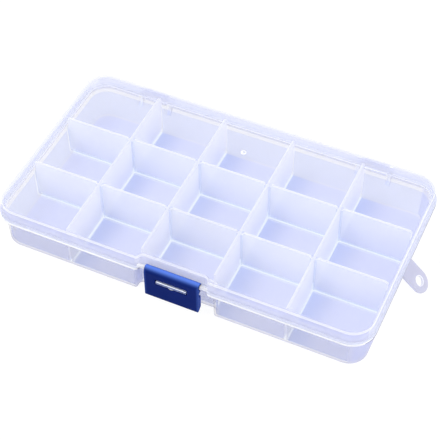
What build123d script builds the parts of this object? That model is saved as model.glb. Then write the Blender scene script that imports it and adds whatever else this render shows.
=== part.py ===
from build123d import *
import math
import os

# Compartment storage box with a hinged lid, a snap latch and ten loose dividers.
# Millimetres. The origin is the centre of the flat underside. +X runs along the long side,
# the latch faces -Y, the hinge is at +Y, and +Z is up.

# Plan of the mouldings: every outline is a rounded rectangle about the same corner centres,
# so one radius says where a wall is
CORNER_X = 76.5
CORNER_Y = 37.7
R_LIP = 11.0
R_BASE_BOTTOM = 8.35
R_BASE_RIM = 9.05
R_CAVITY_FLOOR = 7.65
R_CAVITY_RIM = 7.95
R_SKIRT_LOW = 10.3
R_SKIRT_TOP = 9.8
SKIRT_WALL = 1.0
BOTTOM_ROUND = 1.6
FLOOR_ROUND = 0.8
LID_TOP_ROUND = 0.7

# Heights
FLOOR_TOP = 1.2
PARTING = 17.4
LID_GAP = 0.1
RIM_UPSTAND = 1.0
FLANGE_THICK = 1.1
LIP_THICK = 0.9
TOP = 24.5
LID_PLATE = 1.1
PARTITION_TOP = 23.0
DIVIDER_TOP = 22.6

# How far a piece that is moulded on another starts inside it
ROOT = 0.3

# Grid of compartments
COLUMN_PITCH = 34.0
ROW_PITCH = 30.5
COLUMNS = 5
PARTITION_FOOT = 1.2
PARTITION_DRAFT = 0.25
PARTITION_ROUND = 2.0
PARTITION_END_GAP = 0.45
DIVIDER_THICK = 1.0
DIVIDER_WIDTH = 32.2
DIVIDER_CORNER = 1.0
DIVIDER_LIFT = 0.1
SLOT_WIDTH = 1.2
RIB_WIDTH = 0.8
RIB_PROUD = 0.9
RIB_ROOT = 0.1
RIB_TOP = 21.6

# Latch bay in the base. Above it, the lid and the flange have a recess with S-shaped ends:
# the half width is where the slanted end would meet the back wall if it weren't rounded
BAY_HALF = 18.1
BAY_WALL_Y = -42.2
BAY_WALL = 1.1
BAY_ROUND = 1.5
BAY_MOUTH_ROUND = 1.2
RECESS_HALF = 15.0
RECESS_Y = -45.2
RECESS_LEAN = 70
RECESS_OUTER_ROUND = 2.0
RECESS_INNER_ROUND = 2.0
UPSTAND_END = 17.2

# Latch, its bar on the lid and the catch tongue on the base
BAR_Y = -47.1
BAR_Z = 18.8
BAR_R = 0.95
BAR_GAP = 0.07
BAR_HALF = 16.3
HOOK_R = 1.65
HOOK_TIP_ANGLE = -35
ROLL_R = 3.05
ROLL_TURN = 45
LATCH_HALF = 12.7
LATCH_CHAMFER = 0.35
PLATE_THICK = 1.5
LATCH_BOTTOM = 3.5
LATCH_LEAD_IN = 0.6
LATCH_SLOT_HALF = 7.6
LATCH_SLOT_LOW = 12.4
LATCH_SLOT_HIGH = 15.7
LATCH_SLOT_ROUND = 0.6
GRIP_Y = -46.2
GRIP_LOW = 5.0
GRIP_HIGH = 11.9
GRIP_WALL = 1.1
GRIP_POCKET = 1.6
STOP_RIB_Y = -46.4
STOP_RIB_LOW = 14.95
STOP_RIB_HIGH = 16.35
TONGUE_HALF = 7.1
TONGUE_LOW = 12.7
TONGUE_THICK = 1.6
TONGUE_TIP = -49.4
PIP_R = 1.9
PIP_DROP = 0.4
PIP_GAP = 0.3

# Hinge: pins moulded between ears on the base, clips moulded on the lid
HINGE_Y = 50.0
HINGE_X = 55.0
PIN_R = 1.25
PIN_GAP = 0.08
PIN_ROOT = 0.2
CLIP_R = 2.3
CLIP_HALF = 6.0
CLIP_MOUTH = 2.0
CLIP_MOUTH_TURN = 40
EAR_THICK = 2.2
EAR_R = 2.0
EAR_DROP = 6.5
EAR_SLOPE = 35
EAR_GAP = 0.4
HINGE_NOTCH_Y = 47.2
HINGE_NOTCH_GAP = 0.6

# Hanging tab, which droops from the flange at the right end
TAB_WIDTH = 10.8
TAB_REACH = 8.8
TAB_THICK = 1.2
TAB_HOLE_R = 2.2
TAB_DROOP = 43

# Moulding gate mark on the lid
GATE_Y = 26.6
GATE_R = 1.6
GATE_PROUD = 0.25

# Larger than any piece, for cuts that run right through
BEYOND = 60.0


def outline(radius, z):
    """Rounded rectangle of the box's plan at height z."""
    flat = RectangleRounded(2 * (CORNER_X + radius), 2 * (CORNER_Y + radius), radius)
    return Plane.XY.offset(z) * flat


def prism(flat, z_low, z_high):
    """Upright block of a plan."""
    return extrude(Plane.XY.offset(z_low) * flat, amount=z_high - z_low)


def draft(radius_low, radius_high, height):
    """Taper in degrees that takes one plan into the next."""
    return -math.degrees(math.atan((radius_high - radius_low) / height))


def drafted(radius_low, radius_high, z_low, z_high):
    """Block of the box's plan whose walls lean with the moulding draft."""
    angle = draft(radius_low, radius_high, z_high - z_low)
    return extrude(outline(radius_low, z_low), amount=z_high - z_low, taper=angle)


def block(x, y, z):
    """Box between two limits on each axis."""
    size = Box(x[1] - x[0], y[1] - y[0], z[1] - z[0])
    return Pos((x[0] + x[1]) / 2, (y[0] + y[1]) / 2, (z[0] + z[1]) / 2) * size


def rod(radius, x_low, x_high, y, z):
    """Cylinder along X."""
    return Pos((x_low + x_high) / 2, y, z) * Rot(0, 90, 0) * Cylinder(radius, x_high - x_low)


def side_prism(face, x_low, x_high):
    """Solid of a profile that is drawn in Y and Z, between two places along X."""
    return extrude(Plane.YZ.offset(x_low) * face, amount=x_high - x_low)


def bay_cut(half, y_back, corner, z_low, z_high):
    """Block that cuts the latch bay into the front of the base, with rounded inner corners."""
    depth = 20.0
    flat = Pos(0, y_back - depth / 2) * RectangleRounded(2 * half, depth, corner)
    return prism(flat, z_low, z_high)


def recessed(radius):
    """Plan of the lid or the flange, with the latch recess in its front."""
    front = -(CORNER_Y + radius)
    slope = math.tan(math.radians(RECESS_LEAN))
    mouth = RECESS_HALF + (RECESS_Y - front) / slope
    past = 1.0
    cut = Polygon(
        (-RECESS_HALF, RECESS_Y),
        (-mouth - past / slope, front - past),
        (mouth + past / slope, front - past),
        (RECESS_HALF, RECESS_Y),
        align=None,
    )
    flat = outline(radius, 0) - cut
    jogs = flat.vertices().filter_by(lambda v: abs(v.X) < mouth + past).group_by(Axis.Y)
    flat = fillet(jogs[-1], RECESS_INNER_ROUND)
    mouths = flat.vertices().filter_by(lambda v: abs(abs(v.X) - mouth) < 0.01)
    return fillet(mouths, RECESS_OUTER_ROUND)


def hinge_places():
    """Middle of each hinge along X."""
    return [-HINGE_X, HINGE_X]


def hinge_notch(z_low, z_high):
    """Room at each hinge, cut from the flange and from the lid's lip."""
    half = CLIP_HALF + EAR_GAP + EAR_THICK + HINGE_NOTCH_GAP
    cuts = Part()
    for x in hinge_places():
        cuts += block((x - half, x + half), (HINGE_NOTCH_Y, HINGE_Y), (z_low, z_high))
    return cuts


def cavity():
    """Inside of the tray, with the floor's rounded edge."""
    inside = drafted(R_CAVITY_FLOOR, R_CAVITY_RIM, FLOOR_TOP, PARTING)
    inside += prism(outline(R_CAVITY_RIM, 0), PARTING, PARTING + 2 * RIM_UPSTAND)
    floor_edge = inside.faces().sort_by(Axis.Z)[0].outer_wire().edges()
    return fillet(floor_edge, FLOOR_ROUND)


def tray_outside():
    """Solid outer form of the base: drafted, with a rounded bottom edge and the latch bay."""
    bay_top = PARTING - FLANGE_THICK
    body = drafted(R_BASE_BOTTOM, R_BASE_RIM, 0, PARTING)
    body += prism(outline(R_BASE_RIM, 0), PARTING, PARTING + RIM_UPSTAND)
    body = fillet(body.faces().sort_by(Axis.Z)[0].outer_wire().edges(), BOTTOM_ROUND)
    body -= bay_cut(BAY_HALF, BAY_WALL_Y, BAY_ROUND, 0, bay_top)
    upright = body.edges().filter_by(lambda e: bay_top - BOTTOM_ROUND - 0.1 < e.length < bay_top)
    mouth_y = BAY_WALL_Y - 2 * BAY_ROUND
    mouth = upright.filter_by(lambda e: abs(e.center().X) < BAY_HALF + ROOT and e.center().Y < mouth_y)
    return fillet(mouth, BAY_MOUTH_ROUND)


def tray():
    """Shell of the base, with its rim flange and the wall behind the latch bay."""
    rim_top = PARTING + RIM_UPSTAND
    flange_low = PARTING - FLANGE_THICK
    outside = tray_outside()
    flange_plan = recessed(R_LIP)
    flange = prism(flange_plan, flange_low, PARTING) - hinge_notch(0, TOP)
    bay_wall = bay_cut(BAY_HALF + BAY_WALL, BAY_WALL_Y + BAY_WALL, BAY_ROUND + BAY_WALL, 0, rim_top)
    body = outside + flange - cavity() + (bay_wall & outside)
    # The flange is notched for the latch, and the upstand stops short of the lid's recess
    recess_room = block((-BAY_HALF, BAY_HALF), (-BEYOND, BAY_WALL_Y), (flange_low, PARTING))
    body -= recess_room - prism(flange_plan, flange_low, PARTING)
    return body - block((-UPSTAND_END, UPSTAND_END), (-BEYOND, BAY_WALL_Y), (PARTING, TOP))


def partition_side(middle):
    """Side view of a partition: it runs into the tray's walls, and stops inside the lid's skirt."""
    reach = CORNER_Y + R_CAVITY_FLOOR + ROOT
    inset = CORNER_Y + R_CAVITY_RIM - PARTITION_END_GAP
    front = BAY_WALL_Y + BAY_WALL / 2 if middle else -reach
    upper_front = front if middle else -inset
    low = FLOOR_TOP - ROOT
    body = Pos((front + reach) / 2, (low + PARTING) / 2) * Rectangle(reach - front, PARTING - low)
    upper = Pos((upper_front + inset) / 2, (low + PARTITION_TOP) / 2) * Rectangle(
        inset - upper_front, PARTITION_TOP - low)
    upper = fillet(upper.vertices().group_by(Axis.Y)[-1], PARTITION_ROUND)
    return body + upper


def partition_places():
    """Middle of each partition along X."""
    return [(i - (COLUMNS - 2) / 2) * COLUMN_PITCH for i in range(COLUMNS - 1)]


def partitions():
    """Four full-depth walls between the columns, thinner towards the top."""
    walls = Part()
    low = FLOOR_TOP - ROOT
    for x in partition_places():
        foot = Plane.XY.offset(low) * Pos(x, 0) * Rectangle(PARTITION_FOOT, 2 * BEYOND)
        wall = extrude(foot, amount=PARTITION_TOP - low, taper=PARTITION_DRAFT)
        side = partition_side(abs(x) < BAY_HALF)
        walls += wall & side_prism(side, x - PARTITION_FOOT, x + PARTITION_FOOT)
    return walls


def divider_rows():
    """Middle of each row of dividers along Y."""
    return [-ROW_PITCH / 2, ROW_PITCH / 2]


def slot_ribs():
    """Paired ribs that hold the dividers upright, on both faces of every wall."""
    ribs = Part()
    wall_x = CORNER_X + R_CAVITY_RIM
    low = FLOOR_TOP - ROOT
    for y in divider_rows():
        for side in (-1, 1):
            rib_y = y + side * (SLOT_WIDTH + RIB_WIDTH) / 2
            for x in partition_places():
                half = PARTITION_FOOT / 2 + RIB_PROUD
                foot = Plane.XY.offset(low) * Pos(x, rib_y) * Rectangle(2 * half, RIB_WIDTH)
                ribs += extrude(foot, amount=RIB_TOP - low, taper=PARTITION_DRAFT)
            for end in (-1, 1):
                reach = RIB_ROOT + RIB_PROUD
                foot = Pos(end * (wall_x + RIB_ROOT - reach / 2), rib_y) * Rectangle(reach, RIB_WIDTH)
                ribs += prism(foot, low, PARTING)
    return ribs


def catch_tongue():
    """Tongue in the latch bay that the latch's slot drops over, with a pip under its nose."""
    mid = TONGUE_LOW + TONGUE_THICK / 2
    nose = TONGUE_TIP + TONGUE_THICK / 2
    width = (-TONGUE_HALF, TONGUE_HALF)
    tongue = block(width, (nose, BAY_WALL_Y + ROOT), (TONGUE_LOW, TONGUE_LOW + TONGUE_THICK))
    tongue += rod(TONGUE_THICK / 2, *width, nose, mid)
    disc = Pos(0, nose, TONGUE_LOW - PIP_DROP + PIP_R) * Rot(90, 0, 0) * Cylinder(PIP_R, TONGUE_THICK)
    return tongue + (disc & block((-PIP_R, PIP_R), (-BEYOND, 0), (0, mid)))


def hinge_ears():
    """Ears on the back wall, with the pins moulded between them."""
    root_y = CORNER_Y + R_BASE_RIM - ROOT
    slope = math.radians(EAR_SLOPE)
    ears = Part()
    with BuildSketch() as profile:
        with Locations((HINGE_Y, PARTING)):
            Circle(EAR_R)
        with BuildLine():
            Polyline(
                (HINGE_Y - EAR_R, PARTING - ROOT),
                (root_y, PARTING - ROOT),
                (root_y, PARTING - EAR_DROP),
                (HINGE_Y + EAR_R * math.sin(slope), PARTING - EAR_R * math.cos(slope)),
                (HINGE_Y, PARTING),
                close=True,
            )
        make_face()
    for x in hinge_places():
        inner = CLIP_HALF + EAR_GAP
        for low in (x - inner - EAR_THICK, x + inner):
            ears += side_prism(profile.sketch, low, low + EAR_THICK)
        ears += rod(PIN_R, x - inner - PIN_ROOT, x + inner + PIN_ROOT, HINGE_Y, PARTING)
    return ears


def hanging_tab():
    """Tongue with a round hole, which droops from the flange's edge."""
    root_x = CORNER_X + R_LIP
    overlap = 1.0
    flat = Pos((TAB_REACH - overlap) / 2, 0) * Rectangle(TAB_REACH + overlap, TAB_WIDTH)
    flat += Pos(TAB_REACH, 0) * Circle(TAB_WIDTH / 2)
    flat -= Pos(TAB_REACH, 0) * Circle(TAB_HOLE_R)
    tab = extrude(flat, amount=-TAB_THICK)
    tab = Pos(root_x - RIB_ROOT, 0, PARTING) * Rot(0, TAB_DROOP, 0) * tab
    width = (-TAB_WIDTH, TAB_WIDTH)
    tab -= block((0, root_x - 2 * ROOT), width, (0, TOP))
    return tab - block((0, root_x + BEYOND), width, (PARTING, TOP))


def base():
    """The tray with everything that is moulded on it."""
    return tray() + partitions() + slot_ribs() + catch_tongue() + hinge_ears() + hanging_tab()


def lid_shell():
    """Cover with its drafted skirt, lip and latch recess, all of one wall thickness."""
    low = PARTING + LID_GAP
    angle = draft(R_SKIRT_LOW, R_SKIRT_TOP, TOP - low)
    plan = recessed(R_SKIRT_LOW)
    body = extrude(Plane.XY.offset(low) * plan, amount=TOP - low, taper=angle)
    body = fillet(body.faces().sort_by(Axis.Z)[-1].outer_wire().edges(), LID_TOP_ROUND)
    lip = prism(recessed(R_LIP), low, low + LIP_THICK) - hinge_notch(low, TOP)
    inner_plan = offset(plan, -SKIRT_WALL)
    inside = extrude(Plane.XY.offset(low) * inner_plan, amount=TOP - LID_PLATE - low, taper=angle)
    return body + lip - inside


def clip_mouth(x):
    """Gap in a clip, narrower than the pin, so that the clip snaps on."""
    length = 2 * (CLIP_HALF + ROOT)
    gap = Pos(0, 0, -CLIP_R) * Box(length, CLIP_MOUTH, 2 * CLIP_R)
    return Pos(x, HINGE_Y, PARTING) * Rot(CLIP_MOUTH_TURN, 0, 0) * gap


def lid_clips():
    """Clips that snap over the base's pins and carry the lid."""
    skirt_y = CORNER_Y + R_SKIRT_LOW - SKIRT_WALL / 2
    clips = Part()
    for x in hinge_places():
        low, high = x - CLIP_HALF, x + CLIP_HALF
        barrel = rod(CLIP_R, low, high, HINGE_Y, PARTING)
        barrel += block((low, high), (skirt_y, HINGE_Y), (PARTING + LID_GAP, PARTING + CLIP_R))
        barrel -= rod(PIN_R + PIN_GAP, low, high, HINGE_Y, PARTING)
        clips += barrel - clip_mouth(x)
    return clips


def lid():
    """The cover with everything that is moulded on it."""
    bar = rod(BAR_R, -BAR_HALF, BAR_HALF, BAR_Y, BAR_Z)
    gate = Pos(0, GATE_Y, TOP + GATE_PROUD / 2) * Cylinder(GATE_R, GATE_PROUD)
    return lid_shell() + lid_clips() + bar + gate


def on_circle(centre, radius, angle):
    """Point of a circle in the side view, with the angle in degrees."""
    turn = math.radians(angle)
    return (centre[0] + radius * math.cos(turn), centre[1] + radius * math.sin(turn))


def latch_profile():
    """Side view of the latch: a plate whose top rolls over into a hook round the bar."""
    bar = (BAR_Y, BAR_Z)
    top_turn = 180 - ROLL_TURN
    roll = on_circle(bar, ROLL_R - HOOK_R, top_turn - 180)
    front = roll[0] - ROLL_R
    rear = front + PLATE_THICK
    roll_end = on_circle(roll, ROLL_R, top_turn)
    tip = on_circle(bar, HOOK_R, HOOK_TIP_ANGLE)
    hook_middle = on_circle(bar, HOOK_R, (top_turn + HOOK_TIP_ANGLE) / 2)
    with BuildSketch() as side:
        with BuildLine():
            Line((front, LATCH_BOTTOM), (front, roll[1]))
            ThreePointArc((front, roll[1]), on_circle(roll, ROLL_R, 180 - ROLL_TURN / 2), roll_end)
            ThreePointArc(roll_end, hook_middle, tip)
            Polyline(tip, bar, (rear, BAR_Z), (rear, STOP_RIB_HIGH))
            Line((rear, STOP_RIB_HIGH), (STOP_RIB_Y, STOP_RIB_HIGH - LATCH_LEAD_IN))
            Line((STOP_RIB_Y, STOP_RIB_HIGH - LATCH_LEAD_IN), (STOP_RIB_Y, STOP_RIB_LOW))
            Polyline((STOP_RIB_Y, STOP_RIB_LOW), (rear, STOP_RIB_LOW), (rear, GRIP_HIGH))
            Polyline((rear, GRIP_HIGH), (GRIP_Y, GRIP_HIGH), (GRIP_Y, GRIP_LOW))
            Line((GRIP_Y, GRIP_LOW), (rear - LATCH_LEAD_IN, LATCH_BOTTOM))
            Line((rear - LATCH_LEAD_IN, LATCH_BOTTOM), (front, LATCH_BOTTOM))
        make_face()
        with Locations(bar):
            Circle(BAR_R + BAR_GAP, mode=Mode.SUBTRACT)
    return side.sketch


def latch_slot():
    """Slot that drops over the catch tongue, with a dip for the tongue's pip."""
    middle = (LATCH_SLOT_LOW + LATCH_SLOT_HIGH) / 2
    height = LATCH_SLOT_HIGH - LATCH_SLOT_LOW
    flat = Pos(0, middle) * RectangleRounded(2 * LATCH_SLOT_HALF, height, LATCH_SLOT_ROUND)
    dip_r = PIP_R + PIP_GAP
    dip = Pos(0, TONGUE_LOW - PIP_DROP - PIP_GAP + dip_r) * Circle(dip_r)
    flat += dip & Pos(0, middle - height / 2) * Rectangle(2 * dip_r, height)
    return extrude(Plane.XZ * flat, amount=BEYOND)


def latch():
    """Snap latch with the slot that drops over the catch tongue."""
    body = side_prism(latch_profile(), -LATCH_HALF, LATCH_HALF)
    ends = body.faces().filter_by(Axis.X).edges()
    body = chamfer(ends.filter_by(lambda e: e.center().Y < BAR_Y - HOOK_R), LATCH_CHAMFER)
    body -= latch_slot()
    # The grip behind the plate is a frame of ribs, open in the middle as moulded
    for side in (-1, 1):
        span = sorted((side * GRIP_WALL, side * (LATCH_HALF - GRIP_WALL)))
        depth = (GRIP_Y - GRIP_POCKET, GRIP_Y + GRIP_POCKET)
        body -= block(span, depth, (GRIP_LOW + GRIP_WALL, GRIP_HIGH - GRIP_WALL))
    return body


def divider():
    """Loose divider, upright in its slot, with its middle on the Y axis' zero."""
    low = FLOOR_TOP + DIVIDER_LIFT
    height = DIVIDER_TOP - low
    flat = chamfer(Rectangle(DIVIDER_WIDTH, height).vertices(), DIVIDER_CORNER)
    plate = extrude(Plane.XZ * flat, amount=DIVIDER_THICK / 2, both=True)
    return Pos(0, 0, low + height / 2) * plate


def dividers():
    """All ten dividers by name, two in each column."""
    named = {}
    for column in range(COLUMNS):
        x = (column - (COLUMNS - 1) / 2) * COLUMN_PITCH
        for row, y in zip(("front", "back"), divider_rows()):
            named[f"divider_{column + 1}_{row}"] = Pos(x, y, 0) * divider()
    return named


os.makedirs("parts", exist_ok=True)
nodes = {"base": base(), "lid": lid(), "latch": latch()}
nodes.update(dividers())
for name, shape in nodes.items():
    export_step(shape, f"parts/{name}.step")
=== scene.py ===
import math
import bmesh
import bpy
from mathutils import Matrix, Vector


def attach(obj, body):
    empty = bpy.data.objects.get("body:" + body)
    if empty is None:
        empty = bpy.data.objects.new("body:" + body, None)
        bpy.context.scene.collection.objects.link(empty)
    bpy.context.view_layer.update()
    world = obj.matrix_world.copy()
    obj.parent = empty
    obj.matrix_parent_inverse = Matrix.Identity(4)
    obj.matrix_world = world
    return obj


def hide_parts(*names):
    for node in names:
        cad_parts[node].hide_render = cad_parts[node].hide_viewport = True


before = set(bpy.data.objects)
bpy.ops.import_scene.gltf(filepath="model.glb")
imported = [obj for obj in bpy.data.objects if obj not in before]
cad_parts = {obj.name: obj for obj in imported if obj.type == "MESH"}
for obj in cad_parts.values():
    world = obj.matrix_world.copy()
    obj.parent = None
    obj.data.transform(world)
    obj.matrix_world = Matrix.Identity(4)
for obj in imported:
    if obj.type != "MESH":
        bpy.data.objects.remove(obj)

scene = bpy.context.scene
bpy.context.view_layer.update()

# Camera: a short telephoto from the front right, looking down at the tray at about 49 degrees.
# Its place and focal length come from the floor corners of the fifteen compartments.
CAMERA_AZIMUTH = 24.467
CAMERA_ELEVATION = 48.899
CAMERA_DISTANCE = 0.5829
CAMERA_TARGET = Vector((-0.001366, 0.0040, 0.0012))
FOCAL_PIXELS = 1286.2
FRAME_PIXELS = 440
SENSOR_MM = 36.0

azimuth = math.radians(CAMERA_AZIMUTH)
elevation = math.radians(CAMERA_ELEVATION)
towards_camera = Vector((
    math.cos(elevation) * math.sin(azimuth),
    -math.cos(elevation) * math.cos(azimuth),
    math.sin(elevation),
))
camera_data = bpy.data.cameras.new("photo_camera")
camera_data.sensor_width = SENSOR_MM
camera_data.lens = FOCAL_PIXELS / FRAME_PIXELS * SENSOR_MM
camera = bpy.data.objects.new("photo_camera", camera_data)
turn = towards_camera.to_track_quat("Z", "Y").to_matrix().to_4x4()
camera.matrix_world = Matrix.Translation(CAMERA_TARGET + CAMERA_DISTANCE * towards_camera) @ turn
scene.collection.objects.link(camera)
scene.camera = camera

# Studio: a white light tent, softboxes on the left, on the right and behind the box, and a pale table.
# The tent is dimmer for diffuse light than for what is seen in it, so pale plastic keeps its shades.
TENT_LIGHT = 0.77
SOFTBOX_SIZE = 0.4
SOFTBOXES = (
    ("left_softbox", (-0.5, -0.45, 0.9), 3.4),
    ("right_softbox", (0.9, -0.1, 0.5), 2.8),
    ("back_softbox", (-0.1, 0.95, 0.55), 2.2),
)
TABLE_WHITE = 0.94
TABLE_GLOW_SHARE = 0.85
TABLE_GLOW = 1.06
TABLE_SIZE = 6.0
TABLE_DROP = 0.0001

scene.view_settings.view_transform = "Standard"
scene.cycles.max_bounces = 24
scene.cycles.diffuse_bounces = 12
scene.cycles.transparent_max_bounces = 48


def join(tree, value, socket):
    """Join another node's output to a socket, or set the socket to a number or colour."""
    if isinstance(value, bpy.types.NodeSocket):
        tree.links.new(value, socket)
    else:
        socket.default_value = value


def reckoned(tree, operation, *values):
    """Result of one sum on numbers or outputs."""
    node = tree.nodes.new("ShaderNodeMath")
    node.operation = operation
    for value, socket in zip(values, node.inputs):
        join(tree, value, socket)
    return node.outputs[0]


def scaled(tree, value, low, high, to_low=0.0, to_high=1.0, curve="LINEAR"):
    """A value between low and high, put on another range and held inside it."""
    node = tree.nodes.new("ShaderNodeMapRange")
    node.interpolation_type = curve
    ends = {"From Min": low, "From Max": high, "To Min": to_low, "To Max": to_high}
    for name, end in ends.items():
        node.inputs[name].default_value = end
    tree.links.new(value, node.inputs["Value"])
    return node.outputs["Result"]


def blended(tree, share, first, second):
    """Mix of two surfaces."""
    node = tree.nodes.new("ShaderNodeMixShader")
    for value, socket in zip((share, first, second), node.inputs):
        join(tree, value, socket)
    return node.outputs[0]


def show(tree, surface):
    """Make a surface the one that the material shows."""
    tree.links.new(surface, tree.nodes.new("ShaderNodeOutputMaterial").inputs["Surface"])


world = bpy.data.worlds.new("white_tent")
world.use_nodes = True
scene.world = world
tree = world.node_tree
path = tree.nodes.new("ShaderNodeLightPath")
seen = reckoned(tree, "MAXIMUM", path.outputs["Is Camera Ray"], path.outputs["Is Glossy Ray"])
seen = reckoned(tree, "MAXIMUM", seen, path.outputs["Is Transmission Ray"])
background = tree.nodes["Background"]
background.inputs["Color"].default_value = (1.0, 1.0, 1.0, 1.0)
tree.links.new(scaled(tree, seen, 0.0, 1.0, TENT_LIGHT, 1.0), background.inputs["Strength"])

for name, place, watts in SOFTBOXES:
    lamp_data = bpy.data.lights.new(name, "AREA")
    lamp_data.shape = "SQUARE"
    lamp_data.size = SOFTBOX_SIZE
    lamp_data.energy = watts
    lamp = bpy.data.objects.new(name, lamp_data)
    lamp.location = place
    lamp.rotation_euler = Vector(place).to_track_quat("Z", "Y").to_euler()
    scene.collection.objects.link(lamp)

table_material = bpy.data.materials.new("pale_table")
table_material.use_nodes = True
tree = table_material.node_tree
tree.nodes.clear()
table_paint = tree.nodes.new("ShaderNodeBsdfDiffuse")
table_paint.inputs["Color"].default_value = (TABLE_WHITE, TABLE_WHITE, TABLE_WHITE, 1.0)
table_light = tree.nodes.new("ShaderNodeEmission")
table_light.inputs["Strength"].default_value = TABLE_GLOW
path = tree.nodes.new("ShaderNodeLightPath")
glow_share = reckoned(tree, "MULTIPLY", path.outputs["Is Camera Ray"], TABLE_GLOW_SHARE)
show(tree, blended(tree, glow_share, table_paint.outputs[0], table_light.outputs[0]))
bpy.ops.mesh.primitive_plane_add(size=TABLE_SIZE, location=(0, 0, -TABLE_DROP))
table = bpy.context.active_object
table.name = "table"
table.data.materials.append(table_material)

# Tray: the box's lower moulding, in natural polypropylene with a faint lavender-blue cast.
# Drafted walls under a flat rim flange, a bay for the latch in the front, and a low upstand that
# centres the lid. Every wall follows one plan, and the moulded edges are rounded and catch the light;
# their whiter, nearly opaque finish is a painted highlight.
MM = 0.001
CORNER_X = 76.5
CORNER_Y = 37.7
R_LIP = 11.0
R_BASE_BOTTOM = 8.4
R_BASE_RIM = 9.05
R_CAVITY_FLOOR = 7.65
R_CAVITY_RIM = 7.95
FLOOR_TOP = 1.2
PARTING = 17.4
RIM_TOP = 18.4
FLANGE_LOW = 16.3
BRIGHT_RIM_LOW = 15.2
BOTTOM_ROUND = 1.6
FLOOR_ROUND = 0.8
RIM_ROUND = 0.3
# A recess in the front: half its width, its back, its corner radii, and how far its sides lean.
BAY = {"half": 18.1, "back": -42.2, "outer": 1.2, "inner": 1.5, "lean": 90}
BAY_INSIDE = {"half": 19.2, "back": -41.1, "outer": 0.1, "inner": 2.6, "lean": 90}
UPSTAND_BAY = {"half": 17.2, "back": -42.2, "outer": 0.3, "inner": 0.5, "lean": 90}
RECESS = {"half": 15.0, "back": -45.2, "outer": 2.0, "inner": 2.0, "lean": 70}
CORNER_STEPS = 16
JOG_STEPS = 8
SHARPEST_CORNER = 0.02
SAME_POINT = 0.004
SAME_PLANE = 1e-7
COLUMN_PITCH = 34.0
ROW_PITCH = 30.5
PARTITION_FOOT = 1.2
DIVIDER_THICK = 1.0

# The plastic's drift over a moulding, its skin, and the painted light lines and painted shade on the
# floor.
CLOUD_SCALE = 30.0
GRAIN_SCALE = 700.0
NOISE_LOW = 0.3
NOISE_HIGH = 0.7
TINT_DRIFT = 0.015
HAZE_DRIFT = 0.02
POLISH_DRIFT = 0.15
SKIN_STRENGTH = 0.12
SKIN_DEPTH = 0.00003
PLASTIC_IOR = 1.49
LIT_FROM_BEHIND = 0.5
GLEAM_COLOUR = (0.99, 0.995, 1.0, 1.0)
GLEAM_ROUGHNESS = 0.4
PARTITION_LINE = 0.5
FOOT_LINE = 0.4
FOOT_LINE_SOFT = 0.35
LINE_CLEAR = 0.92
PAINTED_FOOT_LIGHT = (0.93, 0.96, 1.0, 1.0)
SHADE_REACH = 15.0
SHADE_COLOUR = (0.88, 0.915, 0.985, 1.0)


def noise(tree, place, scale):
    """Soft noise over a moulding."""
    node = tree.nodes.new("ShaderNodeTexNoise")
    node.inputs["Scale"].default_value = scale
    tree.links.new(place, node.inputs["Vector"])
    return node.outputs["Fac"]


def mixed(tree, share, first, second, kind="RGBA", blend="MIX"):
    """Mix of two colours or of two numbers."""
    node = tree.nodes.new("ShaderNodeMix")
    node.data_type = kind
    node.blend_type = blend
    join(tree, share, node.inputs["Factor"])
    join(tree, first, node.inputs["A"])
    join(tree, second, node.inputs["B"])
    return node.outputs["Result"]


def coat(tree, body, colour, roughness, grain, strength, depth):
    """Give a plastic's body its colour, its polish and a faintly uneven skin."""
    skin = tree.nodes.new("ShaderNodeBump")
    skin.inputs["Strength"].default_value = strength
    skin.inputs["Distance"].default_value = depth
    tree.links.new(grain, skin.inputs["Height"])
    tree.links.new(colour, body.inputs["Base Color"])
    tree.links.new(roughness, body.inputs["Roughness"])
    tree.links.new(skin.outputs["Normal"], body.inputs["Normal"])


def foot_lines(tree, place):
    """Share of the painted light lines at the feet, and of the painted shade right of each partition."""
    parts = tree.nodes.new("ShaderNodeSeparateXYZ")
    tree.links.new(place, parts.inputs[0])
    near = []
    for axis, folds, half in (
        ("X", (0, COLUMN_PITCH, COLUMN_PITCH / 2), PARTITION_LINE),
        ("Y", (0, ROW_PITCH / 2), DIVIDER_THICK / 2),
    ):
        distance = parts.outputs[axis]
        # Each fold lays one half of the axis over the other, so that the lines fall together.
        for fold in folds:
            distance = reckoned(tree, "ABSOLUTE", reckoned(tree, "SUBTRACT", distance, fold * MM))
        line_end = half + FOOT_LINE
        near.append(scaled(tree, distance, (line_end + FOOT_LINE_SOFT) * MM, line_end * MM))
    lines = reckoned(tree, "MAXIMUM", *near)
    first_line = COLUMN_PITCH / 2
    last_line = COLUMN_PITCH * 3 / 2
    along = reckoned(tree, "WRAP", parts.outputs["X"], last_line * MM, first_line * MM)
    shade_end = first_line + SHADE_REACH
    shade_start = first_line + 2 * PARTITION_LINE
    shade = scaled(tree, along, shade_end * MM, shade_start * MM, curve="SMOOTHSTEP")
    has_partition = reckoned(tree, "GREATER_THAN", parts.outputs["X"], -last_line * MM)
    return lines, reckoned(tree, "MULTIPLY", shade, has_partition)


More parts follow.
